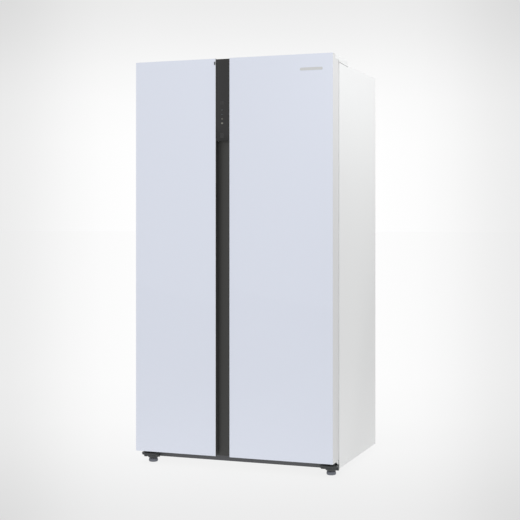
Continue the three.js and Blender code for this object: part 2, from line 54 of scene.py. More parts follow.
BODY_OF = {n: b for b, nodes in frame["record"]["behaviour"]["bodies"].items() for n in nodes}
DOORS = (("freezer", -1), ("fridge", 1))
SIDES = (("left", -1), ("right", 1))
NEAR = 1e-6                     # places this close are the same place
SHARP = math.radians(32)        # an edge that turns by more than this is sharp
FLANGE = 6 * MM                 # rim round a compartment's mouth
PLATE_LEVEL = 12 * MM           # from a shelf's foot up to its glass plate
GLASS_RELIEF = 0.6 * MM         # the front glass lies this far behind the CAD face
BOLT_X = {"left": -441 * MM, "right": 391 * MM}     # a free stretch of each lower bracket


# --- Materials ---

def colour(r, g, b):
    """An sRGB colour from 0 to 255 as linear values."""
    levels = (v / 255 for v in (r, g, b))
    return tuple(c / 12.92 if c <= 0.04045 else ((c + 0.055) / 1.055) ** 2.4 for c in levels) + (1,)


def new_node(made, kind, **inputs):
    """Adds a shader node and sets its inputs by name."""
    node = made.node_tree.nodes.new("ShaderNode" + kind)
    for key, value in inputs.items():
        node.inputs[key.replace("_", " ")].default_value = value
    return node


def material(name, tint, roughness, mottle=0.02, mottle_scale=9, grain=0.05, grain_scale=900,
             spread=0.03, cells=False, **sockets):
    """A surface with a faint drift of tone and roughness and a fine relief, from noise or cells."""
    made = bpy.data.materials.new(name)
    made.use_nodes = True
    links = made.node_tree.links
    shader = made.node_tree.nodes["Principled BSDF"]
    place = new_node(made, "TexCoord").outputs["Object"]

    drift = new_node(made, "TexVoronoi" if cells else "TexNoise", Scale=mottle_scale)
    links.new(place, drift.inputs["Vector"])
    share = drift.outputs["Color" if cells else "Fac"]
    tone = new_node(made, "Mix")
    tone.data_type = "RGBA"
    tone.inputs[6].default_value = tuple(c * (1 - mottle) for c in tint[:3]) + (1,)
    tone.inputs[7].default_value = tuple(min(1, c * (1 + mottle)) for c in tint[:3]) + (1,)
    links.new(share, tone.inputs[0])
    links.new(tone.outputs[2], shader.inputs["Base Color"])

    if spread:
        rough = new_node(made, "MapRange", To_Min=max(0, roughness - spread),
                         To_Max=roughness + spread)
        links.new(share, rough.inputs["Value"])
        links.new(rough.outputs["Result"], shader.inputs["Roughness"])
    else:
        shader.inputs["Roughness"].default_value = roughness

    if grain:
        fine = new_node(made, "TexNoise", Scale=grain_scale)
        relief = new_node(made, "Bump", Strength=grain, Distance=0.0004)
        links.new(place, fine.inputs["Vector"])
        links.new(fine.outputs["Fac"], relief.inputs["Height"])
        links.new(relief.outputs["Normal"], shader.inputs["Normal"])

    for key, value in sockets.items():
        shader.inputs[key.replace("_", " ")].default_value = value
    return made


def glowing(name, tint, strength):
    """A surface that gives off a little light of its own colour."""
    return material(name, tint, 0.4, grain=0, Emission_Color=tint, Emission_Strength=strength)


WHITE = material("white_paint", colour(238, 239, 239), 0.34, mottle=0.006, grain=0.035, spread=0.02)
DOOR_WHITE = material("door_paint", colour(222, 222, 222), 0.36, mottle=0.006, grain=0.03,
                      spread=0.02)
PALE_GLASS = material("door_glass", colour(224, 229, 242), 0.45, mottle=0.003, mottle_scale=2,
                      grain=0, spread=0, Coat_Weight=1.0, Coat_Roughness=0.03, Coat_IOR=1.45)
BLACK_GLASS = material("display_glass", colour(22, 22, 22), 0.12, mottle=0.03, grain=0, spread=0.01)
STRIP = material("strip_plastic", colour(60, 60, 59), 0.42, mottle=0.05, mottle_scale=4, grain=0.12,
                 grain_scale=1600)
# Dark recess plastic with a faint glow of its own: painted light that evens out the shade falling
# in the recess.
RECESS_WITH_PAINTED_LIGHT = material("recess_plastic_painted_light", colour(34, 34, 33), 0.42, mottle=0.05, mottle_scale=4,
                  grain=0.12, grain_scale=1600, Emission_Color=colour(60, 60, 58),
                  Emission_Strength=0.36)
BLACK = material("black_plastic", colour(40, 41, 41), 0.5, mottle=0.06, grain=0.15,
                 grain_scale=1400)
BRACKET = material("bracket_coat", colour(60, 62, 63), 0.48, mottle=0.08, mottle_scale=40,
                   grain=0.2)
BEAM = material("beam_coat", colour(84, 85, 88), 0.45, mottle=0.05, mottle_scale=20, grain=0.15)
FOOT = material("foot_plastic", colour(112, 115, 124), 0.45, mottle=0.06, mottle_scale=60,
                grain=0.15)
LINER = material("liner_plastic", colour(240, 241, 242), 0.3, mottle=0.006, grain=0.03,
                 grain_scale=500)
TRIM = material("trim_plastic", colour(206, 209, 213), 0.35, mottle=0.01, grain=0.06)
SHELF_GLASS = material("shelf_glass", (0.93, 0.98, 0.965, 1), 0.06, mottle=0.01, grain=0,
                       spread=0.01, Transmission_Weight=0.62, IOR=1.45)
CLEAR = material("clear_plastic", (0.93, 0.955, 0.975, 1), 0.12, mottle=0.01, grain=0, spread=0.02,
                 Transmission_Weight=0.6, IOR=1.4)
RUBBER = material("seal_rubber", colour(244, 245, 246), 0.7, mottle=0.02, grain=0.1,
                  grain_scale=1500)
ZINC = material("zinc_steel", colour(178, 181, 183), 0.42, mottle=0.07, mottle_scale=90, grain=0,
                spread=0.08, cells=True, Metallic=0.75)
SCREW = material("screw_steel", colour(190, 191, 192), 0.3, mottle=0.05, mottle_scale=200, grain=0,
                 Metallic=0.9)
FINS = material("aluminium_fins", colour(205, 207, 209), 0.35, mottle=0.03, grain=0.1, Metallic=0.9)
ENAMEL = material("compressor_enamel", colour(28, 28, 30), 0.35, mottle=0.08, grain=0.1)
FOAM = material("foam", colour(226, 214, 168), 0.9, mottle=0.06, mottle_scale=120, grain=0.6,
                grain_scale=700)
BADGE = material("badge_metal", colour(207, 208, 208), 0.3, mottle=0.02, grain=0.05, Metallic=0.4)
# A dark strip of painted shadow for the shade in the gap under each hinge cover.
PAINTED_SHADOW = material("cover_painted_shadow", colour(70, 71, 72), 0.7, mottle=0.05, grain=0.15)
STOP = material("stop_plastic", colour(62, 65, 67), 0.5, mottle=0.04, grain=0.1)
LENS = glowing("lamp_lens", colour(250, 249, 240), 1.4)
ICON = glowing("icon_light", colour(140, 140, 131), 0.12)
ICON_DIM = glowing("icon_dim", colour(84, 92, 98), 0.03)
PAD = material("touch_pad", colour(34, 34, 34), 0.16, mottle=0.02, grain=0)


# --- Mesh building ---

def along(axis):
    """Chooses the edges that run along an axis."""
    return lambda e: abs((e.verts[0].co - e.verts[1].co).normalized().dot(AXES[axis])) > 0.99


def add_block(bm, x, y, z, radius=0.0, segments=3, keep=None):
    """A block from its low and high values. All its edges are rounded, or those keep() names."""
    made = bmesh.ops.create_cube(bm, size=1)["verts"]
    size = Vector((x[1] - x[0], y[1] - y[0], z[1] - z[0]))
    middle = Vector((sum(x) / 2, sum(y) / 2, sum(z) / 2))
    for v in made:
        v.co = Vector(a * b for a, b in zip(v.co, size)) + middle
    if radius:
        edges = {e for v in made for e in v.link_edges if not keep or keep(e)}
        bmesh.ops.bevel(bm, geom=list(edges), offset=radius, segments=segments, profile=0.5,
                        affect="EDGES")


def add_prism(bm, axis, outline, low, high):
    """An outline of (first, second) values across an axis, drawn out along it."""
    order = {"x": lambda a, b, c: (c, a, b),
             "y": lambda a, b, c: (a, c, b),
             "z": lambda a, b, c: (a, b, c)}[axis]
    ends = [[bm.verts.new(order(a, b, c)) for a, b in outline] for c in (low, high)]
    bm.faces.new(ends[0])
    bm.faces.new(ends[1][::-1])
    for i in range(len(outline)):
        j = (i + 1) % len(outline)
        bm.faces.new([ends[0][i], ends[1][i], ends[1][j], ends[0][j]])


def add_loft(bm, outlines):
    """A closed body through outlines with the same number of points."""
    rings = [[bm.verts.new(co) for co in outline] for outline in outlines]
    bm.faces.new(rings[0])
    bm.faces.new(rings[-1][::-1])
    for here, there in zip(rings, rings[1:]):
        for i in range(len(here)):
            j = (i + 1) % len(here)
            bm.faces.new([here[i], there[i], there[j], here[j]])


def add_lathe(bm, profile, centre, axis="z", segments=48, flutes=0, depth=0.0, fluted=()):
    """Turns a profile of (radius, height) about an axis. The rings in fluted wave in and out."""
    turn = {"z": Matrix.Identity(3), "x": Matrix.Rotation(math.pi / 2, 3, "Y"),
            "y": Matrix.Rotation(-math.pi / 2, 3, "X")}[axis]
    closed = profile[0] == profile[-1]
    rings = []
    for k, (radius, height) in enumerate(profile[:-1] if closed else profile):
        wave = depth if k in fluted else 0
        ring = []
        for i in range(segments if radius > NEAR else 1):
            a = 2 * math.pi * i / segments
            r = radius - wave * (0.5 + 0.5 * math.cos(flutes * a))
            point = Vector((r * math.cos(a), r * math.sin(a), height))
            ring.append(bm.verts.new(turn @ point + Vector(centre)))
        rings.append(ring)
    pairs = list(zip(rings, rings[1:])) + ([(rings[-1], rings[0])] if closed else [])
    for low, high in pairs:
        for i in range(segments):
            j = (i + 1) % segments
            corners = [low[i % len(low)], low[j % len(low)], high[j % len(high)],
                       high[i % len(high)]]
            corners = list(dict.fromkeys(corners))
            if len(corners) > 2:
                bm.faces.new(corners)
    for ring in (() if closed else (rings[0], rings[-1])):
        if len(ring) > 1:
            bm.faces.new(ring)


def add_frame(bm, section, x, z, y, radius, steps=6):
    """Sweeps a closed section of (outward, depth) round a rectangle in XZ with round corners."""
    corners = [(x[1], z[0], 1, -1, -90), (x[1], z[1], 1, 1, 0), (x[0], z[1], -1, 1, 90),
               (x[0], z[0], -1, -1, 180)]
    rings = []
    for cx, cz, sx, sz, start in corners:
        for k in range(steps + 1):
            a = math.radians(start + 90 * k / steps)
            rings.append([bm.verts.new((cx - sx * radius + (radius + out) * math.cos(a), y + deep,
                                        cz - sz * radius + (radius + out) * math.sin(a)))
                          for out, deep in section])
    for here, there in zip(rings, rings[1:] + rings[:1]):
        for i in range(len(section)):
            j = (i + 1) % len(section)
            bm.faces.new([here[i], here[j], there[j], there[i]])


def sharpen(mesh):
    """Marks the sharp edges of a mesh, so that only its round stretches are shaded smooth."""
    bm = bmesh.new()
    bm.from_mesh(mesh)
    for e in bm.edges:
        e.smooth = len(e.link_faces) == 2 and e.calc_face_angle(0) < SHARP
    bm.to_mesh(mesh)
    bm.free()


def piece(name, bm, look, node, replace=False, bevel=0.0, segments=2):
    """Makes the object. It rides with a CAD node's body, and may stand in for that node."""
    bmesh.ops.recalc_face_normals(bm, faces=bm.faces)
    mesh = bpy.data.meshes.new(name)
    bm.to_mesh(mesh)
    bm.free()
    mesh.polygons.foreach_set("use_smooth", [True] * len(mesh.polygons))
    mesh.materials.append(look)
    obj = bpy.data.objects.new(name, mesh)
    SCENE.collection.objects.link(obj)
    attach(obj, BODY_OF[node])
    if replace:
        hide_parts(node)
    if bevel:
        rounding = obj.modifiers.new("rounding", "BEVEL")
        rounding.width = bevel
        rounding.segments = segments
        rounding.limit_method = "ANGLE"
        rounding.angle_limit = SHARP
        rounding.harden_normals = True
    else:
        sharpen(mesh)
    return obj


def refined(node, look, bevel, segments=2, wide=None, wide_radius=0.0):
    """A clean copy of a CAD node with its edges rounded, and those of wide() rounder still."""
    bm = bmesh.new()
    bm.from_mesh(frame["nodes"][node].data)
    bmesh.ops.remove_doubles(bm, verts=bm.verts, dist=2 * NEAR)
    bmesh.ops.dissolve_limit(bm, angle_limit=math.radians(0.5), verts=bm.verts, edges=bm.edges)
    if wide:
        edges = [e for e in bm.edges if wide(e)]
        bmesh.ops.bevel(bm, geom=edges, offset=wide_radius, segments=5, profile=0.5, affect="EDGES")
    return piece(node + "_finish", bm, look, node, True, bevel, segments)


def screws(name, node, places, radius, axis, sign=1, look=None):
    """Button head screws with a round drive recess, all in one piece."""
    bm = bmesh.new()
    head = [(1.0, 0), (1.0, 0.2), (0.86, 0.4), (0.6, 0.5), (0.38, 0.52), (0.34, 0.2), (0, 0.16)]
    for at in places:
        add_lathe(bm, [(r * radius, sign * h * radius) for r, h in head], at, axis, 20)
    return piece(name, bm, look or SCREW, node)


def tray(name, look, node, x, y, z, corner, wall, foot_radius):
    """An open topped box with rounded corners and an even wall."""
    bm = bmesh.new()
    add_block(bm, x, y, z)
    bm.normal_update()
    bmesh.ops.delete(bm, geom=[f for f in bm.faces if f.normal.z > 0.9], context="FACES_ONLY")
    upright = [e for e in bm.edges if along("z")(e)]
    bmesh.ops.bevel(bm, geom=upright, offset=corner, segments=6, profile=0.5, affect="EDGES")
    base = [e for e in bm.edges
            if len(e.link_faces) == 2 and all(abs(v.co.z - z[0]) < NEAR for v in e.verts)]
    bmesh.ops.bevel(bm, geom=base, offset=foot_radius, segments=4, profile=0.5, affect="EDGES")
    obj = piece(name, bm, look, node, True)
    thick = obj.modifiers.new("wall", "SOLIDIFY")
    thick.thickness = wall
    thick.offset = -1
    rim = obj.modifiers.new("rim", "BEVEL")
    rim.width = wall * 0.35
    rim.segments = 2
    rim.limit_method = "ANGLE"
    rim.angle_limit = math.radians(60)
    return obj


def spans(node):
    """A CAD node's box as ranges along X, Y and Z."""
    lo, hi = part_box(node)
    return tuple((lo[i], hi[i]) for i in range(3))


# --- Cabinet outside ---

def front_beam():
    """Two sheet channels, the lower one full width and the upper one between the brackets."""
    _, y, z = spans("front_beam")
    fold, split = 2.5 * MM, 61.4 * MM
    full, short = (-453.7 * MM, 453.7 * MM), (-401.5 * MM, 411.5 * MM)
    inner = y[0] + fold
    beam = bmesh.new()
    for across, bottom, top in ((full, z[0], split), (short, split + 0.3 * MM, z[1])):
        channel = [(y[0], bottom), (y[1], bottom), (y[1], bottom + fold), (inner, bottom + fold),
                   (inner, top - fold), (y[1], top - fold), (y[1], top), (y[0], top)]
        add_prism(beam, "x", channel, *across)
    piece("front_beam_channels", beam, BEAM, "front_beam", True, 0.9 * MM, 3)


def build_cabinet():
    """The folded wrapper, the trim between the compartments, the beam and the bottom sheet."""
    x, _, z = spans("cabinet_shell")

    def folds(e):
        """The long outer folds of the wrapper, on both sides."""
        ends = [v.co for v in e.verts]
        outer = all(abs(abs(c.x) - x[1]) < 10 * NEAR for c in ends)
        return outer and max(c.z for c in ends) > z[0] + MM

    shell = refined("cabinet_shell", WHITE, 0.3 * MM, 2, folds, 1.2 * MM).data
    painted, drawn = 455.2, 455.5       # half widths: the paint lies just inside the cover side walls and the dark painted shadow under them
    for v in shell.vertices:
        v.co.x *= painted / drawn
    refined("mullion_trim", WHITE, 0.6 * MM)
    front_beam()
    refined("base_pan", ZINC, 0.4 * MM)


COVER_ENDS = ((-257.3, 1757.8), (-125.2, 1754.4))     # (depth, foot level) in mm, front and rear


def cover_skirt(low):
    """The thin side wall of a hinge cover down to a level, as (across, up) in mm."""
    return [(449, 1760.3), (455.22, 1760.3), (455.22, low), (455.42, low), (455.42, 1761.4),
            (454.8, 1762), (449, 1762)]


def cover_shadow_line(low):
    """A dark strip of painted shadow under that side wall, where shade falls below the cover."""
    return [(455.2, low - 1.5), (455.47, low - 1.5), (455.47, low), (455.2, low)]


def build_hinges():
    """Hinge covers with their screws, side walls and dark strips of painted shadow under them,
    upper hinges and lower brackets.
    """
    for word, side in SIDES:
        refined(word + "_hinge_cover", WHITE, 0.8 * MM, 3)
        refined(word + "_upper_hinge", ZINC, 0.4 * MM)
        refined(word + "_lower_hinge", BRACKET, 0.7 * MM, 3)
        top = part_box(word + "_hinge_cover")[1].z
        heads = [(side * 412 * MM, depth * MM, top) for depth in (-210, -150)]
        screws(word + "_cover_screws", word + "_hinge_cover", heads, 2.7 * MM, "z")
        # Under each cover's side wall lies a dark strip of painted shadow.
        for part, look, section in (("skirt", WHITE, cover_skirt), ("painted_shadow_line", PAINTED_SHADOW, cover_shadow_line)):
            bm = bmesh.new()
            add_loft(bm, [[(side * a * MM, depth * MM, b * MM) for a, b in section(low)]
                          for depth, low in COVER_ENDS])
            piece(f"{word}_cover_{part}", bm, look, word + "_hinge_cover")
        bolt = (BOLT_X[word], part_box(word + "_lower_hinge")[1].y - 4.5 * MM, 31 * MM)
        screws(word + "_hinge_bolt", word + "_lower_hinge", [bolt], 3.6 * MM, "y", -1, BRACKET)


def build_back():
    """The rear panel, the louvred cover of the machine compartment, and the power inlet."""
    x, y, z = spans("rear_panel")
    refined("rear_panel", ZINC, 0.5 * MM)
    margin = 12 * MM
    rows = [z[0] + margin + k * (z[1] - z[0] - 2 * margin) / 6 for k in range(7)]
    heads = [(s * (x[1] - 8 * MM), y[0] + 1.5 * MM, row) for row in rows for s in (-1, 1)]
    screws("rear_panel_screws", "rear_panel", heads, 3 * MM, "y")
    label = bmesh.new()
    add_block(label, (-0.33, -0.21), (y[0] + 1.4 * MM, y[0] + 1.9 * MM), (1.5, 1.58), 0.2 * MM, 1)
    piece("blank_rating_plate", label, TRIM, "rear_panel")

    _, y, _ = spans("machine_cover")
    refined("machine_cover", ZINC, 0.4 * MM)
    face = y[1] - 0.2 * MM
    hoods = bmesh.new()
    for left, right in ((-390, -230), (-180, -20), (110, 270)):
        for level in (k * MM for k in range(90, 266, 22)):
            outline = [(face, level + 8.6 * MM), (face + 1.8 * MM, level + 3 * MM),
                       (face + 1.8 * MM, level + 4.2 * MM), (face, level + 11 * MM)]
            add_prism(hoods, "x", outline, left * MM, right * MM)
    piece("louvre_hoods", hoods, ZINC, "machine_cover", bevel=0.3 * MM)
    columns = (-440, -200, 45, 290, 440)
    heads = [(across * MM, y[1], up * MM) for up in (40, 284) for across in columns]
    screws("machine_cover_screws", "machine_cover", heads, 3 * MM, "y")
    refined("power_inlet", BLACK, 0.6 * MM)
    x, y, z = spans("power_inlet")
    pins = bmesh.new()
    pin = [(0.7 * MM, 0), (0.7 * MM, 9 * MM), (0.4 * MM, 10 * MM), (0, 10.2 * MM)]
    for across, up in ((-2, -1.2), (2, -1.2), (0, 2)):
        at = (sum(x) / 2 + across * MM, y[0] + 4 * MM, sum(z) / 2 + up * MM)
        add_lathe(pins, pin, at, "y", 12)
    piece("inlet_pins", pins, SCREW, "power_inlet")


def build_feet():
    """Fluted front feet with threaded stems, and the rear rollers with their rims and hubs."""
    base = [(0, 0), (16, 0), (18.4, 0.9), (19.8, 2.6), (20.5, 5.4), (20.5, 10), (19.7, 13),
            (18, 15), (15.6, 16), (6.4, 16.2), (5.4, 16.2)]
    crest, root, half_pitch = 5.0, 4.3, 0.9
    threads = [(crest if k % 2 else root, 16.8 + k * half_pitch) for k in range(38)]
    profile = [(r * MM, h * MM) for r, h in base + threads + [(4, 51.8), (0, 52)]]
    ring = [(4.7, -10), (8.6, -10), (9.4, -7.6), (13.6, -7.6), (14.4, -10), (16.2, -10),
            (17.5, -9.4), (18, -8), (18, 8), (17.5, 9.4), (16.2, 10), (14.4, 10), (13.6, 7.6),
            (9.4, 7.6), (8.6, 10), (4.7, 10), (4.7, -10)]
    for word, _ in SIDES:
        node = word + "_front_foot"
        x, y, z = spans(node)
        bm = bmesh.new()
        add_lathe(bm, profile, (sum(x) / 2, sum(y) / 2, z[0]), "z", 96,
                  flutes=24, depth=1.1 * MM, fluted=(4, 5, 6))
        piece(node + "_moulded", bm, FOOT, node, True)

        node = word + "_rear_roller"
        x, y, z = spans(node)
        bm = bmesh.new()
        add_lathe(bm, [(r * MM, h * MM) for r, h in ring], (sum(x) / 2, sum(y) / 2, sum(z) / 2),
                  "x", 64)
        piece(node + "_moulded", bm, BLACK, node, True)


# --- Compartments ---

def bay_sizes(name):
    """A compartment's clear space: its liner's box less the flange and the wall behind."""
    x, y, z = spans(name + "_liner")
    wall = 2.5 * MM
    return (x[0] + FLANGE, x[1] - FLANGE), (y[0], y[1] - wall), (z[0] + FLANGE, z[1] - FLANGE)


def bay_liner(name, shelf_nodes, drawer_node):
    """The moulded inner box: one skin with round corners, a step over the compressor, and rails."""
    x, y, z = bay_sizes(name)
    step_y, step_z = 105 * MM, 330 * MM
    bm = bmesh.new()
    outline = [(y[0], z[0]), (step_y, z[0]), (step_y, step_z), (y[1], step_z), (y[1], z[1]),
               (y[0], z[1])]
    add_prism(bm, "x", outline, *x)
    mouth = [f for f in bm.faces if all(abs(v.co.y - y[0]) < NEAR for v in f.verts)]
    bmesh.ops.delete(bm, geom=mouth, context="FACES_ONLY")
    inner = [e for e in bm.edges if len(e.link_faces) == 2]
    bmesh.ops.bevel(bm, geom=inner, offset=14 * MM, segments=6, profile=0.5, affect="EDGES")
    rim = [e for e in bm.edges if len(e.link_faces) == 1]
    spread = bmesh.ops.extrude_edge_only(bm, edges=rim)["geom"]
    for v in (g for g in spread if isinstance(g, bmesh.types.BMVert)):
        for i, span in ((0, x), (2, z)):
            middle, half = sum(span) / 2, (span[1] - span[0]) / 2
            v.co[i] = middle + (v.co[i] - middle) * (half + FLANGE) / half
    obj = piece(name + "_liner_skin", bm, LINER, name + "_liner", True, 2.5 * MM, 3)
    thick = obj.modifiers.new("wall", "SOLIDIFY")
    thick.thickness = 1.6 * MM
    thick.offset = 1

    extras = bmesh.new()
    section = [(0, 0), (18 * MM, 0), (18 * MM, 0.7 * MM), (0, 0.7 * MM)]
    out = 12 * MM
    mouth_x, mouth_z = (x[0] - out, x[1] + out), (z[0] - out, z[1] + out)
    add_frame(extras, section, mouth_x, mouth_z, y[0] + 1.7 * MM, 0.1 * MM)
    # Each pair of rails has a level, a rear end and a width.
    rails = [(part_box(n)[0].z + PLATE_LEVEL, 235 * MM, 9 * MM) for n in shelf_nodes]
    rails.append((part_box(drawer_node)[0].z, step_y - 10 * MM, 12 * MM))
    for level, back, width in rails:
        for low, high in ((x[0] - MM, x[0] + width), (x[1] - width, x[1] + MM)):
            add_block(extras, (low, high), (-145 * MM, back), (level - 9 * MM, level - 0.3 * MM),
                      2.6 * MM, 4)
    piece(name + "_liner_rails", extras, LINER, name + "_liner")


def shelf(node):
    """A tempered glass plate with a moulded edge at the front and a low bead at the back."""
    x, y, z = spans(node)
    plate = bmesh.new()
    level = z[0] + PLATE_LEVEL
    add_block(plate, x, (y[0] + 4 * MM, y[1] - MM), (level, level + 5 * MM), 1.2 * MM, 3)
    piece(node + "_plate", plate, SHELF_GLASS, node, True)
    trim = bmesh.new()
    nose = [(0, -9), (0.6, -11), (2.4, -12), (7.6, -12), (9.4, -11), (10, -9), (10, -2), (16, -1.2),
            (16, -0.1), (10, -0.1), (10, 5.1), (16, 5.1), (16, 6.2), (10, 7), (9.2, 9.2), (7.2, 10),
            (2.8, 10), (0.8, 9.2), (0, 7)]
    bead = [(-10, 5.1), (-10, 6.6), (-4, 7), (-3.2, 12), (-1.8, 13), (-0.2, 12), (0, -2),
            (-0.8, -3), (-10, -2.6), (-10, -0.1), (-1.2, -0.1), (-1.2, 5.1)]
    for start, outline in ((y[0], nose), (y[1], bead)):
        add_prism(trim, "x", [(start + a * MM, level + b * MM) for a, b in outline], *x)
    piece(node + "_trim", trim, TRIM, node, bevel=0.3 * MM)


def drawer(node):
    """A clear moulded drawer: tray, thicker front with a pale band, and a lip to pull it by."""
    x, y, z = spans(node)
    front = y[0] + 10 * MM
    tray(node + "_tray", CLEAR, node, x, (front + 3 * MM, y[1]), z, 12 * MM, 2.4 * MM, 6 * MM)
    face = bmesh.new()
    add_block(face, x, (front, front + 5 * MM), (z[0] + 2 * MM, z[1]), 1.8 * MM, 3)
    piece(node + "_front", face, CLEAR, node)
    grip = bmesh.new()
    middle = sum(x) / 2
    lip = [(0, 20), (-6, 22), (-9, 24), (-10, 27), (-9.4, 28), (-8, 27.4), (-6.4, 25), (0, 23.6)]
    outline = [(front + a * MM, z[1] + (b - 44) * MM) for a, b in lip]
    add_prism(grip, "x", outline, middle - 70 * MM, middle + 70 * MM)
    add_block(grip, (x[0] + 4 * MM, x[1] - 4 * MM), (front - 0.8 * MM, front + 0.6 * MM),
              (z[1] - 13 * MM, z[1] - 3 * MM), 0.5 * MM, 2)
    piece(node + "_band", grip, TRIM, node, bevel=0.4 * MM)


def build_inside():
    """Both compartments with shelves and drawers, the covers on the rear wall and the lamp."""
    for name, count, kind in (("freezer", 3, "freezer_drawer"), ("fridge", 4, "fridge_crisper")):
        shelves = [f"{name}_shelf_{i + 1}" for i in range(count)]
        drawers = [f"{kind}_{i}" for i in (1, 2)]
        bay_liner(name, shelves, drawers[1])
        for node in shelves:
            shelf(node)
        for node in drawers:
            drawer(node)
    refined("evaporator_cover", LINER, 1.1 * MM, 3)
    refined("fridge_air_duct", LINER, 1.0 * MM, 3)
    x, y, z = spans("fridge_lamp")
    inset = 3 * MM
    lens_x, lens_y = (x[0] + inset, x[1] - inset), (y[0] + inset, y[1] - inset)
    lens = bmesh.new()
    add_block(lens, lens_x, lens_y, z, 2.4 * MM, 4)
    piece("fridge_lamp_lens", lens, LENS, "fridge_lamp", True)
    bezel = bmesh.new()
    section = [(0, 0), (3, 0), (3, 2.6), (2.2, 3.4), (0.8, 3.4), (0, 2.6)]
    add_frame(bezel, [(a * MM, b * MM) for a, b in section], lens_x, lens_y, 0, 4 * MM)
    facing_down = Matrix(((1, 0, 0, 0), (0, 0, 1, 0), (0, -1, 0, z[1]), (0, 0, 0, 1)))
    bmesh.ops.transform(bezel, matrix=facing_down, verts=bezel.verts)
    piece("fridge_lamp_bezel", bezel, TRIM, "fridge_lamp")


def build_machinery():
    """The cooling parts and the foam, as the CAD has them."""
    for node, look, width in (
        ("compressor", ENAMEL, 0.8), ("drain_tray", BLACK, 0.8), ("condenser_coil", BRACKET, 0),
        ("condenser_fan_shroud", ZINC, 0.5), ("condenser_fan_rotor", BLACK, 0.4),
        ("evaporator", FINS, 0), ("evaporator_fan_rotor", LINER, 0.4), ("cabinet_foam", FOAM, 0),
        ("freezer_door_foam", FOAM, 0), ("fridge_door_foam", FOAM, 0),
    ):
        refined(node, look, width * MM)


# --- Doors ---

def door_inner(name, side):
    """The door's inner panel with its raised dyke and the bin rests on it."""
    node = name + "_door_liner"
    x, y, z = spans(node)
    bay_x, _, bay_z = bay_sizes(name)
    notch_x, notch_z = 389.2 * MM, 1766.2 * MM
    free, outer = (x[0], x[1]) if side > 0 else (x[1], x[0])
    outline = [(free, z[0]), (outer, z[0]), (outer, notch_z), (side * notch_x, notch_z),
               (side * notch_x, z[1]), (free, z[1])]
    bm = bmesh.new()
    add_prism(bm, "y", outline, y[0], y[0] + 2 * MM)
    piece(name + "_door_panel", bm, LINER, node, True, 0.5 * MM)

    inset = 30 * MM
    tall = y[1] - y[0] - 1.2 * MM
    section = [(0, 0), (1, 0.62), (2, 0.84), (4, 0.95), (7, 1), (15, 1), (18, 0.95), (20, 0.84),
               (21, 0.62), (22, 0)]
    section = [(a * MM, b * tall) for a, b in section]
    inside_x, inside_z = (bay_x[0] + inset, bay_x[1] - inset), (bay_z[0] + inset, bay_z[1] - inset)
    dyke = bmesh.new()
    add_frame(dyke, section, inside_x, inside_z, y[0] + 1.2 * MM, 10 * MM)
    for level in [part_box(f"{name}_bin_{i}")[0].z for i in (1, 2, 3)]:
        for low, high in ((inside_x[0] - 2 * MM, inside_x[0] + 9 * MM),
                          (inside_x[1] - 9 * MM, inside_x[1] + 2 * MM)):
            add_block(dyke, (low, high), (y[0] + MM, y[0] + 34 * MM),
                      (level - 9 * MM, level - 0.6 * MM), 2 * MM, 3)
    piece(name + "_door_dyke", dyke, LINER, node)


def door_seal(name, side):
    """The bellows seal round the door, and the lip that shuts the gap at the hinge side."""
    node = name + "_door_seal"
    x, y, z = spans(node)
    deep = y[1] - y[0]
    fold = [(2, 0), (2, 0.14), (5, 0.2), (5, 0.34), (1.5, 0.46), (1, 0.56), (4, 0.66), (0.6, 0.74),
            (0, 0.8), (0, 0.96), (1, 1), (17, 1), (18, 0.96), (18, 0.8), (17.4, 0.74), (14, 0.66),
            (17, 0.56), (16.5, 0.46), (13, 0.34), (13, 0.2), (16, 0.14), (16, 0)]
    width = 18 * MM
    seal = bmesh.new()
    add_frame(seal, [(a * MM, b * deep) for a, b in fold], (x[0] + width, x[1] - width),
              (z[0] + width, z[1] - width), y[0], 3 * MM, 4)
    lip = [(450, -270.5), (453.2, -270.5), (453.8, -269.9), (453.8, -265), (453.2, -264.4),
           (450, -264.4)]
    add_prism(seal, "z", [(side * a * MM, b * MM) for a, b in lip], z[0] - 44 * MM, z[1] + 20 * MM)
    piece(node + "_bellows", seal, RUBBER, node, True)


def door_bin(node):
    """A clear bin with a pale rail round its rim."""
    x, y, z = spans(node)
    tray(node + "_tray", CLEAR, node, x, y, z, 14 * MM, 2.2 * MM, 6 * MM)
    rail = bmesh.new()
    section = [(-2.8, -4.5), (-2.8, 0), (-2.2, 0.9), (-0.6, 0.9), (0, 0), (0, -4.5), (-0.6, -5),
               (-2.2, -5)]
    add_frame(rail, [(a * MM, b * MM) for a, b in section], x, y, 0, 14 * MM)
    laid_flat = Matrix(((1, 0, 0, 0), (0, 0, 1, 0), (0, 1, 0, z[1] - 0.9 * MM), (0, 0, 0, 1)))
    bmesh.ops.transform(rail, matrix=laid_flat, verts=rail.verts)
    piece(node + "_rail", rail, TRIM, node)


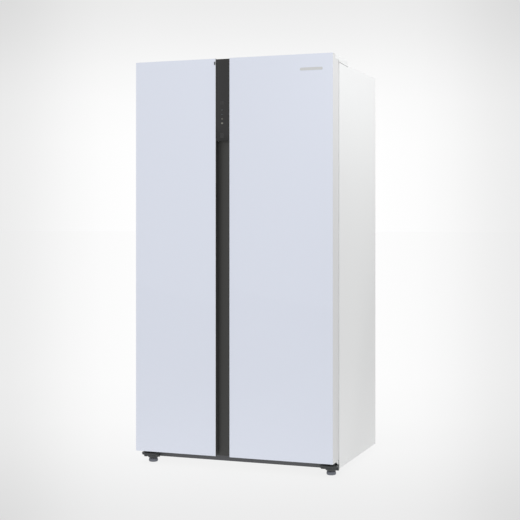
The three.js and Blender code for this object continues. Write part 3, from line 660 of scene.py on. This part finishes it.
def build_doors():
    """Glass, shell, inner panel, seal and bins of both doors, and the recess between them."""
    for name, side in DOORS:
        node = name + "_door_glass"
        x, y, z = spans(node)
        pane = bmesh.new()
        add_block(pane, x, (y[0] + GLASS_RELIEF, y[1]), z, 0.5 * MM, 3)
        piece(node + "_pane", pane, PALE_GLASS, node, True)
        refined(name + "_door_shell", DOOR_WHITE, 0.5 * MM, 3)
        door_inner(name, side)
        door_seal(name, side)
        for i in (1, 2, 3):
            door_bin(f"{name}_bin_{i}")
    tab = bmesh.new()
    outline = [(-301, 60.8), (-298, 58.4), (-274.5, 45.4), (-272.9, 45), (-272.4, 46),
               (-272.4, 60.8)]
    add_prism(tab, "x", [(a * MM, b * MM) for a, b in outline], 452.3 * MM, 454.8 * MM)
    piece("fridge_door_stop_tab", tab, DOOR_WHITE, "fridge_door_shell", bevel=0.4 * MM)
    profile = refined("freezer_grip_profile", STRIP, 0.3 * MM).data
    profile.materials.append(DOOR_WHITE)
    front = -355.5 * MM     # what lies before this is painted like the door
    for face in profile.polygons:
        face.material_index = int(face.center.y < front)
    # The recess plastic glows faintly: painted light in place of the shade that falls in the
    # recess.
    refined("handle_channel", RECESS_WITH_PAINTED_LIGHT, 0.3 * MM)
    _, _, z = spans("handle_channel")
    flap = bmesh.new()
    wall = -333.4 * MM
    tongue = [(-66, 0), (-69, 0), (-72.2, 0.5), (-72.2, 1.3), (-69, 1.6), (-66, 1.6)]
    add_prism(flap, "z", [(a * MM, wall + b * MM) for a, b in tongue], z[0] + 2 * MM, 1426 * MM)
    piece("grip_gap_flap", flap, STRIP, "handle_channel")


def build_display():
    """The display glass with its light marks, and the blank badge and the stop on the doors."""
    node = "display_panel"
    x, y, z = spans(node)
    face = y[0] + GLASS_RELIEF
    pane = bmesh.new()
    add_block(pane, x, (face, y[0] + 4 * MM), z, 0.4 * MM, 2)
    piece("display_pane", pane, BLACK_GLASS, node, True)
    case = bmesh.new()
    add_block(case, (x[0] + MM, x[1] - MM), (y[0] + 4 * MM, y[1]), (z[0] + MM, z[1] - MM),
              1.5 * MM, 2)
    piece("display_case", case, BLACK, node)

    proud = (y[0] + 0.1 * MM, face + 0.1 * MM)
    middle = -43
    marks = {
        "lit_marks": (ICON, (
            (-4, 4, 1501, 1503), (-4, -2, 1503, 1507), (2, 4, 1503, 1507), (-1, 1, 1504.5, 1507),
            (-3, 3, 1521, 1522.6), (-3, -1.4, 1523.4, 1525), (1.4, 3, 1523.4, 1525))),
        "dim_marks": (ICON_DIM, (
            (-4, -1, 1541, 1543), (1, 4, 1541, 1543), (-3, 3, 1560, 1561.6),
            (-1, 1, 1562.4, 1564))),
        "touch_pads": (PAD, ((-9, 9, 1440, 1462), (-9, 9, 1584, 1600))),
    }
    for name, (look, places) in marks.items():
        bm = bmesh.new()
        for left, right, low, high in places:
            add_block(bm, ((middle + left) * MM, (middle + right) * MM), proud,
                      (low * MM, high * MM), 0.15 * MM, 1)
        piece(name, bm, look, node)

    badge = bmesh.new()
    add_block(badge, (311 * MM, 411 * MM), proud, (1716 * MM, 1728 * MM), 5 * MM, 5, along("y"))
    piece("blank_badge", badge, BADGE, "fridge_door_glass")
    stop = bmesh.new()
    add_block(stop, (-80.5 * MM, -71 * MM), proud, (1757.5 * MM, 1771.5 * MM),
              1.8 * MM, 4, along("y"))
    piece("freezer_door_stop", stop, STOP, "freezer_grip_profile")


# --- Studio ---

EYE = Vector((1.847172, -5.068567, 1.060424))
TURN = math.radians(20.01)
TOWARDS = Vector((-math.sin(TURN), math.cos(TURN), 0))
SIDEWAYS = Vector((math.cos(TURN), math.sin(TURN), 0))
UPRIGHT = Vector((0, 0, 1)) + TOWARDS * 0.03    # the brightest level lies just below the horizon
REACH = 0.5     # how far the falloff is described
# (offset to the side, up or down over the distance ahead, brightness of the backdrop there)
FALLOFF = ((0.1, 1), (0.136, 0.98), (0.162, 0.945), (0.196, 0.88), (0.214, 0.853), (0.24, 0.83),
           (0.3, 0.87))


def soft_edges(made, direction):
    """Brightness of the backdrop for each direction seen from EYE, softly falling off to all sides.

    It belongs to the room and doesn't follow the camera.
    """
    links = made.node_tree.links

    def step(kind, operation, *sources):
        """Adds a math node, its inputs linked or set in order, and returns its output."""
        node = new_node(made, kind)
        node.operation = operation
        for socket, source in zip(node.inputs, sources):
            if isinstance(source, bpy.types.NodeSocket):
                links.new(source, socket)
            else:
                socket.default_value = source
        single = operation in ("DOT_PRODUCT", "ABSOLUTE", "DIVIDE")
        return node.outputs["Value" if single else "Vector"]

    unit = step("VectorMath", "NORMALIZE", direction)
    ahead = step("VectorMath", "DOT_PRODUCT", unit, TOWARDS)
    levels = []
    for axis in (SIDEWAYS, UPRIGHT):
        off = step("Math", "ABSOLUTE", step("VectorMath", "DOT_PRODUCT", unit, axis))
        share = new_node(made, "MapRange", From_Min=0, From_Max=REACH)
        links.new(step("Math", "DIVIDE", off, ahead), share.inputs["Value"])
        ramp = new_node(made, "ValToRGB")
        stops = ramp.color_ramp.elements
        stops.remove(stops[0])
        stops[0].position = 0
        for place, level in FALLOFF:
            stops.new(place / REACH).color = (level, level, level, 1)
        links.new(share.outputs["Result"], ramp.inputs["Fac"])
        levels.append(ramp.outputs["Color"])
    return unit, step("VectorMath", "MULTIPLY", *levels)


def lit_floor():
    """A floor that gives off most of its own light, so that hardly any shadow shows on it."""
    bm = bmesh.new()
    bmesh.ops.create_grid(bm, x_segments=1, y_segments=1, size=200)
    mesh = bpy.data.meshes.new("floor")
    bm.to_mesh(mesh)
    bm.free()
    floor = bpy.data.objects.new("floor", mesh)
    SCENE.collection.objects.link(floor)
    look = material("floor_acrylic", colour(78, 78, 78), 0.7, mottle=0.002, grain=0, spread=0,
                    Specular_IOR_Level=0.0, Emission_Strength=0.92)
    links = look.node_tree.links
    away = new_node(look, "VectorMath")
    away.operation = "SUBTRACT"
    away.inputs[1].default_value = EYE
    links.new(new_node(look, "NewGeometry").outputs["Position"], away.inputs[0])
    _, level = soft_edges(look, away.outputs["Vector"])
    links.new(level, look.node_tree.nodes["Principled BSDF"].inputs["Emission Color"])
    mesh.materials.append(look)


def sky():
    """White surroundings, dimmer to the right, so that the cabinet's side is shaded."""
    world = bpy.data.worlds.new("studio")
    world.use_nodes = True
    links = world.node_tree.links
    direction, level = soft_edges(world, new_node(world, "TexCoord").outputs["Generated"])
    parts = new_node(world, "SeparateXYZ")
    links.new(direction, parts.inputs[0])
    aside = new_node(world, "MapRange", From_Min=0.1, From_Max=0.9, To_Min=1.0, To_Max=0.71)
    links.new(parts.outputs["X"], aside.inputs["Value"])
    shade = new_node(world, "VectorMath")
    shade.operation = "MULTIPLY"
    links.new(level, shade.inputs[0])
    links.new(aside.outputs["Result"], shade.inputs[1])
    links.new(shade.outputs["Vector"], world.node_tree.nodes["Background"].inputs["Color"])
    world.node_tree.nodes["Background"].inputs["Strength"].default_value = 1.0
    SCENE.world = world


def softbox(name, place, target, size, power, spread):
    """A rectangular lamp that neither the camera nor a reflection shows."""
    data = bpy.data.lights.new(name, "AREA")
    data.shape = "RECTANGLE"
    data.size, data.size_y = size
    data.energy = power
    data.spread = math.radians(spread)
    lamp = bpy.data.objects.new(name, data)
    lamp.location = place
    lamp.rotation_euler = (Vector(target) - Vector(place)).to_track_quat("-Z", "Y").to_euler()
    lamp.visible_camera = False
    lamp.visible_glossy = False
    SCENE.collection.objects.link(lamp)


def camera():
    """The photograph's viewpoint, level and about 5 m away."""
    data = bpy.data.cameras.new("camera")
    data.lens = 81.173
    data.sensor_width = 36
    data.shift_y = -0.0659
    made = bpy.data.objects.new("camera", data)
    made.location = EYE
    made.rotation_euler = (math.radians(90), 0, TURN)
    SCENE.collection.objects.link(made)
    SCENE.camera = made


build_cabinet()
build_hinges()
build_back()
build_feet()
build_inside()
build_machinery()
build_doors()
build_display()

lit_floor()
sky()
softbox("high_side_light", (1.6, 0.0, 2.05), (0.455, 0.0, 1.74), (1.8, 0.4), 1.65, 72)
camera()
SCENE.view_settings.view_transform = "Standard"
